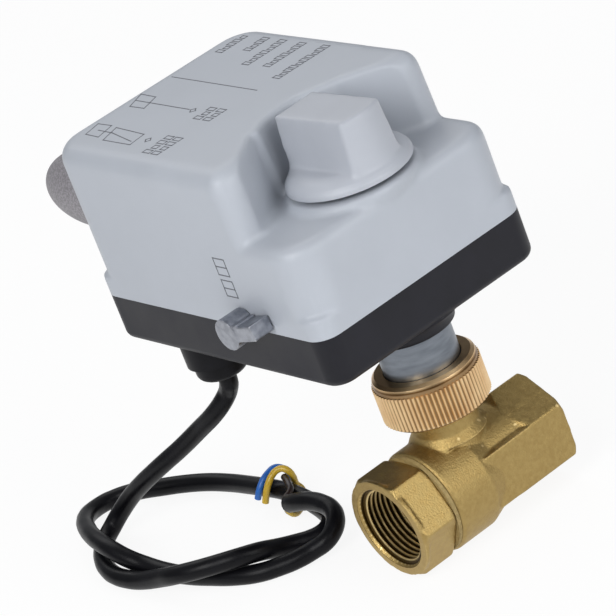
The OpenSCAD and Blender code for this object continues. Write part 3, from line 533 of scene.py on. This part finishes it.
def cavity(right, low, high, corner):
    """Room inside the case between two heights."""
    bm = block((LEFT + WALL, WALL - SIDE, low), (right, SIDE - WALL, high))
    upright = [e for e in bm.edges if abs(e.verts[0].co.z - e.verts[1].co.z) > 1]
    bmesh.ops.bevel(bm, geom=upright, offset=corner, offset_type="OFFSET", segments=8, profile=0.5,
                    affect="EDGES", material=-1)
    return bm


shell = carve(
    shell,
    cavity(RIGHT - WALL, SEAM - 1, LIP - WALL, 4.5),
    cavity(RIGHT - WALL, LIP - WALL - 0.01, LEDGE - WALL, 9.5),
    cavity(-24.5, LEDGE - WALL - 0.01, TOP - WALL, 9.5),
    rod(8, 90, 120),
    placed(rod(3.05, -60, -35), Matrix.Translation((LEVER_X, 0, LEVER_Z)) @ ALONG_Y),
    placed(rod(13.05, LEFT - 1, LEFT + 8), Matrix.Translation((0, DOME_Y, DOME_Z)) @ ALONG_X),
)
cover = piece("cover_shell", shell, "housing", ["cover"])


# %% [markdown]
# ## The knob
# A disc with a bar handle across it, moulded in one. The bar's left end stands upright
# on the disc and the right end leans in on a cone, so that half of the bar is cut to
# that cone. The melt rounds every edge, and a plane then gives the rim its crisp lower
# edge back.

# %% Knob
KNOB_R, DISC_Z, HANDLE_Z = 20.2, 113.0, 129.0
disc = lathe([(0, RIM_Z - 2), (KNOB_R, RIM_Z - 2), (KNOB_R, 108.8), (20, 109.6), (19, 111),
              (17, 112.3), (14.2, DISC_Z), (0, DISC_Z)])
halves = []
for low_x, high_x in ((-16.0, 2.0), (0.0, 24.0)):
    half = block((low_x, -1, RIM_Z), (high_x, 1, HANDLE_Z))
    for v in half.verts:
        lean = 0 if v.co.z > DISC_Z else 2.2
        v.co.y = 8.5 + lean / 2 if v.co.y > 0 else -8.0 - lean
    halves.append(half)
cone = lathe([(0, RIM_Z - 3), (18.56, RIM_Z - 3), (16.44, HANDLE_Z + 2), (0, HANDLE_Z + 2)])
halves[1] = carve(halves[1], cone, operation="INTERSECT")
grip = placed(together(disc, *halves), Matrix.Rotation(radians(3), 4, "Z"))
grip = melt(grip, MEDIUM, 4)
wear_where(grip, lambda p: p.x < -11 and 110 < p.z < 118, 40)
wear_where(grip, lambda p: p.z > DISC_Z + 1, 14)
wear_where(grip, lambda p: p.z > DISC_Z - 2 and p.x > 8 and p.y < -4, 16)
wear_where(grip, lambda p: 111 < p.z < 115.5, 12)
grip = trim(grip, (0, 0, RIM_Z), (0, 0, 1))
grip = carve(
    grip,
    lathe([(12, RIM_Z - 1), (18.2, RIM_Z - 1), (18.2, 110.5), (12, 110.5), (12, RIM_Z - 1)]),
)
grip = carve(grip, rod(6.2, 104.6, 110), operation="UNION")
grip = carve(grip, block((-3, -3, 100), (3, 3, 112)))
knob = piece("knob_shell", grip, "output", ["manual_knob"])

# %% [markdown]
# ## The lower half of the case
# The black tub is exact in the CAD model. The moulding also has a fillet where the
# round boss meets its floor, which is a ring that a lathe profile makes.

# %% Base
fillet = [(13.2, 54), (14.9, 54), (15.1, 55.4), (15.8, 56.9), (17.1, 58), (19, 58.5), (19, 59.5),
          (13.2, 59.5)]
tub = carve(node_copy("base_housing"), lathe(fillet + fillet[:1]), operation="UNION")
tub = piece("base_shell", tub, "housing", ["base_housing"], even=True)

# %% [markdown]
# ## The clutch spring
# The coil spring above the second gear holds it in mesh. When the fork lifts the gear, the
# coils close up towards the upper plate, while a rigid copy would be cut by the gear. This
# copy of the CAD coil gets a mesh of its own, and the CAD coil's box is read.

# %% Spring
low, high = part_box("clutch_spring")
coil = piece("spring_coil", node_copy("clutch_spring"), "housing", ["clutch_spring"])
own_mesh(coil)

# %% [markdown]
# ## The cast valve
# Body and end piece are brass castings: every outer edge is worn round, while the
# ports, faces and threads are turned afterwards. So the outside is melted with its
# holes plugged, and the holes are cut again, crisp. The thread is one ridge, wound
# round the bore by a spin that also moves forward.

# %% Thread and port
END_Y, PITCH, CREST_R, ROOT_R = 32.5, 1.814, 12.06, 13.25
TURNS, STEPS = 7, 48


def thread_ridge(start):
    """The ridge that an internal pipe thread leaves standing, from one depth inwards."""
    bm = bmesh.new()
    outline = [(ROOT_R + 0.3, -0.87), (CREST_R, -0.12), (CREST_R, 0.12), (ROOT_R + 0.3, 0.87)]
    face = bm.faces.new([bm.verts.new((r, start + y, 0)) for r, y in outline])
    bmesh.ops.spin(bm, geom=[face, *face.edges, *face.verts], cent=(0, 0, 0), axis=(0, 1, 0),
                   dvec=(0, PITCH / STEPS, 0), angle=2 * pi * TURNS, steps=STEPS * TURNS,
                   use_merge=False)
    bmesh.ops.recalc_face_normals(bm, faces=bm.faces)
    return bm


def port_cutter(side):
    """Mouth, thread bore, run-out and way of a port, for the near (-1) or far (1) end."""
    outline = [(0, END_Y + 2), (14.1, END_Y + 2), (14.1, END_Y - 0.15), (ROOT_R, END_Y - 1.1),
               (ROOT_R, 17.4), (9.2, 15.4), (9.2, 5), (0, 5)]
    return placed(lathe([(r, side * y) for r, y in outline]), ALONG_Y)


print("thread of", TURNS, "turns,", round(TURNS * PITCH, 1), "mm long")

# %% Body and end piece
brass = melt(together(node_copy("valve_body"), placed(rod(15.6, -17.5, END_Y), ALONG_Y), rod(6.5, 0, 36)),
             MEDIUM, 3)
brass = carve(
    brass,
    port_cutter(1),
    placed(lathe([(0, -20), (15.25, -20), (15.25, -10.5), (13, -10.5), (13, 12.5), (0, 12.5)]), ALONG_Y),
    rod(7.1, 0, 15.9),
    rod(5.05, 10, 40),
)
brass = carve(brass, thread_ridge(END_Y - 1.6 - TURNS * PITCH), operation="UNION")
body = piece("cast_body", brass, "housing", ["valve_body"])
brass = melt(together(node_copy("end_adapter"), placed(rod(14, -END_Y, -10.6), ALONG_Y),
                      placed(rod(16.7, -END_Y, 1.6 - END_Y), ALONG_Y)), MEDIUM, 3)
brass = carve(brass, port_cutter(-1),
              placed(lathe([(0, -12.5), (12.95, -12.5), (12.95, -8), (0, -8)]), ALONG_Y))
brass = carve(brass, thread_ridge(1.6 - END_Y), operation="UNION")
end_piece = piece("cast_end", brass, "housing", ["end_adapter"])

# %% [markdown]
# ## The release lever
# A small zinc casting. The exact solid is melted finely, which takes the edges off the
# hub and the arm as tumbling does with the real casting.

# %% Lever
handle = melt(node_copy("release_lever"), FINE, 3)
handle = piece("lever_casting", handle, "lever", ["release_lever"])

# %% [markdown]
# ## Printing on the case
# The lid carries dark pad printing. Here it is generic: a rule, two plain wiring
# signs, and rows of empty frames where words would stand. Every stroke is a thin bar
# that stands a few hundredths of a millimetre proud of the plastic, as ink does.

# %% Strokes of ink
INK = 0.05


def stroke(start, end, width=0.38):
    """A thin bar of ink on the lid's top, between two (x, y) points."""
    a, b = Vector((*start, 0)), Vector((*end, 0))
    run = b - a
    bar = block((-width / 2, -width / 2, TOP - 0.4), (run.length + width / 2, width / 2, TOP + INK))
    return placed(bar, Matrix.Translation(a) @ Matrix.Rotation(atan2(run.y, run.x), 4, "Z"))


def outline(*points):
    """Strokes round a closed outline."""
    return [stroke(a, b) for a, b in zip(points, points[1:] + points[:1])]


def row(x, start, end, count, height=3.4):
    """A row of small empty frames along Y, in the place of a line of words."""
    step = (end - start) / count
    frames = []
    for i in range(count):
        a, b = start + i * step, start + (i + 0.62) * step
        tall = height * (0.72 if i % 3 == 1 else 1)
        frames += outline((x, a), (x, b), (x - tall, b), (x - tall, a))
    return frames


# %% Marks on the lid
marks = [stroke((-89.8, 6.5), (-43.4, 6.0))]
marks += outline((-91.3, -5.3), (-82.8, -5.6), (-79.9, -12.6), (-87.6, -12.8))
marks += [stroke((-89.2, -9.1), (-59.6, -9.4)),
          *outline((-58.6, -9.6), (-57.3, -8.4), (-56, -9.6), (-57.3, -10.8))]
marks += outline((-89.5, -24.5), (-82.2, -24.3), (-80.1, -31.3), (-87.6, -31.0))
marks += outline((-78.8, -24.9), (-62.2, -25.9), (-61.2, -32.4), (-76, -32.4))
marks += [stroke((-84.8, -27.8), (-76.8, -28)), stroke((-76.8, -28), (-63, -30.6)),
          *outline((-57.9, -28.4), (-56.7, -27.2), (-55.5, -28.4), (-56.7, -29.6))]
for x, start, end, count in ((-48.4, -13.7, -5.5, 3), (-43.4, -13.7, -5.5, 3),
                             (-47.6, -35, -23.5, 4), (-43, -35, -23.5, 4),
                             (-84.6, 23.7, 35.7, 5), (-73.4, 26.8, 36.3, 4), (-64.2, 18.9, 36.3, 7),
                             (-53.7, 19.5, 36.1, 7), (-41.7, 13.9, 36.2, 10)):
    marks += row(x, start, end, count)
marks = piece("printed_marks", together(*marks), "housing")

# %% Two frames above the lever
signs = []
for low, high in ((85.2, 90.8), (92.6, 98.4)):
    left, right, front = -22.4, -16.8, -SIDE - INK
    for a, b in (((left, low), (right, low)), ((left, high), (right, high)), ((left, low), (left, high)),
                 ((right, low), (right, high)), ((left, (low + high) / 2), (right, (low + high) / 2))):
        signs.append(block((a[0] - 0.2, front, a[1] - 0.2), (b[0] + 0.2, 0.4 - SIDE, b[1] + 0.2)))
signs = piece("lever_sign", together(*signs), "housing")

# %% [markdown]
# ## Finishes
# Every finish is built from the same few nodes: a slow blotch of two colours, a fine
# grain that raises the surface, and a roughness that wanders with the blotch. What
# makes brass, zinc, nylon or rubber of it is the size of each pattern in real
# millimetres, how deep the grain is, and how the surface answers the light.


# %% One recipe for a surface
def finish(name, colours, blotch, grain, depth, rough, metal=0.0, lines=(1, 1, 1), ior=None, gleam=0.5,
           edges=None, speckle=False):
    """A material from two colours, pattern sizes in mm and a roughness range. `lines`
    stretches the patterns, and `edges` gives colours for painted shade in concave corners
    and for lighter convex edges, partly wear and partly painted highlight."""
    material = bpy.data.materials.new(name)
    material.use_nodes = True
    tree = material.node_tree
    surface = tree.nodes["Principled BSDF"]
    place = add(tree, "Mapping", Vector=add(tree, "TexCoord").outputs["Object"])
    place.inputs["Scale"].default_value = lines
    cloud = add(tree, "TexNoise", Vector=place.outputs["Vector"], Scale=1 / (blotch * MM), Detail=4.0)
    tint = add(tree, "ValToRGB", Fac=cloud.outputs["Fac"])
    low, high = (0.44, 0.56) if speckle else (0.34, 0.66)
    for stop, colour, where in zip(tint.color_ramp.elements, colours, (low, high)):
        stop.color, stop.position = linear(colour), where
    skin = tint.outputs["Color"]
    # Painted shade and highlight: Pointiness darkens the concave corners and lightens the convex edges.
    if edges:
        worn = add(tree, "NewGeometry")
        for colour, band in ((edges[0], (0.47, 0.40)), (edges[1], (0.53, 0.60))):
            amount = add(tree, "MapRange", Value=worn.outputs["Pointiness"], From_Min=band[0],
                         From_Max=band[1], clamp=True)
            mixed = add(tree, "MixRGB", Fac=amount.outputs["Result"], Color1=skin,
                        Color2=linear(colour))
            skin = mixed.outputs["Color"]
    tree.links.new(skin, surface.inputs["Base Color"])
    wander = add(tree, "MapRange", Value=cloud.outputs["Fac"], From_Min=0.3, From_Max=0.7,
                 To_Min=rough[0], To_Max=rough[1])
    tree.links.new(wander.outputs["Result"], surface.inputs["Roughness"])
    fine = add(tree, "TexNoise", Vector=place.outputs["Vector"], Scale=1 / (grain * MM), Detail=3.0)
    relief = add(tree, "Bump", Height=fine.outputs["Fac"], Distance=depth * MM, Strength=1.0)
    tree.links.new(relief.outputs["Normal"], surface.inputs["Normal"])
    surface.inputs["Metallic"].default_value = metal
    surface.inputs["Specular IOR Level"].default_value = gleam
    if ior:
        surface.inputs["IOR"].default_value = ior
    return material


# %% Finishes that show
# ABS, moulded in a fine-sparked tool: a cool light grey that is nearly matt
lid_abs = finish("moulded grey ABS", ("#AAAFB7", "#AEB3BB"), 26, 0.55, 0.010, (0.40, 0.48), ior=1.5)
# The same ABS, handled more, so a little smoother
knob_abs = finish("handled grey ABS", ("#A8ACB4", "#ADB1B9"), 18, 0.5, 0.008, (0.36, 0.44), ior=1.5)
# Glass-filled nylon: nearly black, with a dull even sheen
tub_nylon = finish("black glass-filled nylon", ("#19191F", "#1E1E25"), 14, 0.45, 0.012, (0.40, 0.52),
                   ior=1.53, gleam=0.22)
# A cap moulded from recycled plastic: grey with light and dark specks
cap_plastic = finish("speckled recycled plastic", ("#787579", "#918E92"), 0.7, 0.6, 0.02, (0.5, 0.62),
                     speckle=True)
# Sand-cast brass: olive yellow and pitted by the sand, with painted shade in its corners and lighter
# edges, partly wear and partly painted highlight
cast_brass = finish("sand-cast brass", ("#A48B57", "#B19963"), 1.6, 0.6, 0.17, (0.44, 0.56), metal=1.0,
                    edges=("#5A4520", "#DCC48C"))
# The end piece comes from the same foundry and is wiped cleaner; its corners get a lighter painted shade,
# and its edges a brighter mix of wear and painted highlight
end_brass = finish("tumbled cast brass", ("#A98F59", "#B59D66"), 1.8, 0.6, 0.15, (0.40, 0.52), metal=1.0,
                   edges=("#5E4822", "#E2CA92"))
# Die-cast zinc, turned on a lathe: dull blue-grey with fine rings
neck_zinc = finish("turned zinc", ("#6E747C", "#868C94"), 4, 0.5, 0.012, (0.32, 0.44), metal=1.0,
                   lines=(0.4, 0.4, 2.0))
# Tumbled zinc, scratched in use, with painted shade in its corners and lighter edges, partly wear and
# partly painted highlight
lever_zinc = finish("tumbled zinc", ("#898C94", "#A8ABB3"), 2.4, 0.5, 0.05, (0.30, 0.45), metal=1.0,
                    edges=("#4A4B4E", "#D5D6D9"))
# Soft PVC: black, a little waxy, with the faint orange peel of an extrusion
jacket = finish("soft black PVC", ("#0A0A0D", "#0F0F13"), 9, 1.1, 0.02, (0.32, 0.40), ior=1.53,
                gleam=0.14)
gland_black = finish("black nylon", ("#0D0D10", "#131317"), 8, 0.6, 0.012, (0.38, 0.48), ior=1.53,
                     gleam=0.13)
ink = finish("pad printing ink", ("#5B5D64", "#686A71"), 3, 0.4, 0.004, (0.5, 0.6))

# %% [markdown]
# ### Knurled brass
# The union nut is turned from bar, so it is pinker and brighter than the castings.
# Painted shade lies between its ribs, and the ribs' tops keep the plain colour. How far a point
# lies from the stem's axis says which it is. The threads of the two castings get painted shade in
# the same way, by their distance from the pipe's axis.

# %% Nut and threads
def band_by_radius(material, axis, colour, edge_a, edge_b):
    """Lays a colour of painted shade where a point's distance from an axis through the ball, in mm,
    has passed edge_a (from, to) and has not yet reached edge_b (from, to)."""
    tree = material.node_tree
    surface = tree.nodes["Principled BSDF"]
    plain = surface.inputs["Base Color"].links[0].from_socket
    spot = add(tree, "VectorMath", operation="SUBTRACT")
    tree.links.new(add(tree, "TexCoord").outputs["Object"], spot.inputs[0])
    spot.inputs[1].default_value = HOME
    flat = add(tree, "VectorMath", operation="MULTIPLY")
    tree.links.new(spot.outputs["Vector"], flat.inputs[0])
    flat.inputs[1].default_value = [0 if i == axis else 1 for i in range(3)]
    reach = add(tree, "VectorMath", operation="LENGTH")
    tree.links.new(flat.outputs["Vector"], reach.inputs[0])
    under = plain
    for over, (start, end) in ((linear(colour), edge_a), (plain, edge_b)):
        passed = add(tree, "MapRange", Value=reach.outputs["Value"], From_Min=start * MM,
                     From_Max=end * MM, clamp=True)
        mixed = add(tree, "MixRGB", Fac=passed.outputs["Result"], Color1=under, Color2=over)
        under = mixed.outputs["Color"]
    tree.links.new(under, surface.inputs["Base Color"])


nut_brass = finish("knurled brass", ("#DAB586", "#EACB9C"), 7, 0.35, 0.02, (0.28, 0.38), metal=1.0)
NUT_R = 17.5
# Painted shade: a dark band at the roots of the knurl's grooves.
band_by_radius(nut_brass, 2, "#66492A", (NUT_R - 0.9, NUT_R - 0.65), (NUT_R - 0.6, NUT_R - 0.25))
# Painted shade inside the threaded ports, from just past the thread's crest out to its root.
for casting in (cast_brass, end_brass):
    band_by_radius(casting, 1, "#4C3A1A", (CREST_R + 0.1, CREST_R + 0.6), (ROOT_R + 0.1, ROOT_R + 0.3))

# %% Finishes of the parts inside, by the record's slot
# (name, colours, blotch mm, grain mm, depth mm, roughness, metallic, stretch)
EVEN = (1, 1, 1)
INSIDE = {
    "stem_brass": ("turned brass rod", ("#B99A55", "#CDB06A"), 4, 0.4, 0.01, (0.22, 0.32), 1.0,
                   (0.4, 0.4, 3)),
    "gear_brass": ("cut gear brass", ("#BC9E58", "#D0B470"), 5, 0.4, 0.01, (0.25, 0.35), 1.0, EVEN),
    "bronze": ("sintered bronze", ("#8A5E36", "#A67A4C"), 1.2, 0.3, 0.02, (0.45, 0.6), 1.0, EVEN),
    "steel": ("zinc-plated steel", ("#A9ACB0", "#C3C6CA"), 6, 0.5, 0.006, (0.28, 0.4), 1.0, EVEN),
    "motor_steel": ("drawn steel", ("#A5A8AC", "#BFC2C6"), 5, 0.4, 0.006, (0.25, 0.38), 1.0,
                    (3, 0.4, 0.4)),
    "plated_ball": ("chrome-plated brass", ("#C9CBCE", "#D6D8DB"), 9, 0.6, 0.002, (0.05, 0.1), 1.0, EVEN),
    "ptfe": ("PTFE", ("#E9E7E1", "#F2F0EA"), 6, 0.8, 0.006, (0.4, 0.5), 0.0, EVEN),
    "seal_fibre": ("pressed fibre", ("#8F7B4C", "#A48F5E"), 1.0, 0.4, 0.03, (0.7, 0.85), 0.0, EVEN),
    "rubber": ("nitrile rubber", ("#232326", "#2C2C30"), 5, 0.6, 0.01, (0.55, 0.7), 0.0, EVEN),
    "gear_acetal": ("acetal", ("#E4DFD0", "#EEEADD"), 8, 0.6, 0.004, (0.3, 0.4), 0.0, EVEN),
    "gearbox_plastic": ("ivory polyamide", ("#DAD6C8", "#E4E1D5"), 10, 0.6, 0.01, (0.4, 0.5), 0.0, EVEN),
    "black_plastic": ("black polyester", ("#242427", "#2D2D31"), 6, 0.4, 0.01, (0.35, 0.45), 0.0, EVEN),
    "red_plastic": ("red acetal", ("#B53A28", "#C6452F"), 3, 0.4, 0.004, (0.3, 0.4), 0.0, EVEN),
    "board": ("green solder mask", ("#22603A", "#2F7046"), 3, 0.4, 0.01, (0.25, 0.35), 0.0, (4, 1, 1)),
    "relay_plastic": ("blue polyester", ("#2458A0", "#2E66B0"), 8, 0.5, 0.004, (0.3, 0.4), 0.0, EVEN),
    "terminal_plastic": ("green polyamide", ("#2F8550", "#3D955E"), 8, 0.5, 0.01, (0.4, 0.5), 0.0, EVEN),
    "capacitor_sleeve": ("shrunk PVC", ("#27406C", "#30497A"), 7, 0.5, 0.004, (0.2, 0.3), 0.0, EVEN),
    "lead_insulation": ("ochre PVC", ("#A8782E", "#B8863A"), 6, 0.5, 0.006, (0.35, 0.45), 0.0, EVEN),
    "wire_blue": ("blue PVC", ("#2460B4", "#2F6FC4"), 5, 0.5, 0.006, (0.3, 0.4), 0.0, EVEN),
    "wire_yellow": ("yellow PVC", ("#C8A42E", "#D6B440"), 5, 0.5, 0.006, (0.3, 0.4), 0.0, EVEN),
    # The brown wire is its own dark brown, deepened almost to black by painted shade where it lies in the
    # cord's shadow.
    "wire_brown": ("brown PVC deepened by painted shade", ("#1C1211", "#281815"), 5, 0.5, 0.006, (0.3, 0.4), 0.0, EVEN),
}
by_slot = {
    slot: finish(name, colours, blotch, grain, depth, rough, metal, lines)
    for slot, (name, colours, blotch, grain, depth, rough, metal, lines) in INSIDE.items()
}
by_slot |= {"cover_plastic": lid_abs, "knob_plastic": knob_abs, "base_plastic": tub_nylon,
            "dome_plastic": cap_plastic, "cast_brass": cast_brass, "turned_brass": end_brass,
            "nut_brass": nut_brass, "zinc": neck_zinc, "lever_zinc": lever_zinc,
            "cord_jacket": jacket, "gland_nylon": gland_black}

# %% Give every piece its finish
for row_of_record in frame["record"]["subparts"]:
    node = frame["nodes"][row_of_record["node"]]
    node.data.materials.clear()
    node.data.materials.append(by_slot[row_of_record["material_slot"]])
for made, slot in ((cover, "cover_plastic"), (knob, "knob_plastic"), (tub, "base_plastic"),
                   (body, "cast_brass"), (end_piece, "turned_brass"), (handle, "lever_zinc"),
                   (cord, "cord_jacket"), (coil, "steel")):
    made.data.materials.append(by_slot[slot])
for colour, wire in wires.items():
    wire.data.materials.append(by_slot["wire_" + colour])
for made in (marks, signs):
    made.data.materials.append(ink)
print(len(by_slot) + 1, "finishes on", len(frame["nodes"]), "nodes and", 10 + len(wires), "pieces")

# %% [markdown]
# ## View transform and size
# The view transform is set to Standard, and the box round all shown pieces is printed in millimetres.

# %% Finish
scene.view_settings.view_transform = "Standard"
bpy.context.view_layer.update()
low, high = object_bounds()
print("visual box in mm:", [round(v / MM, 1) for v in high - low])
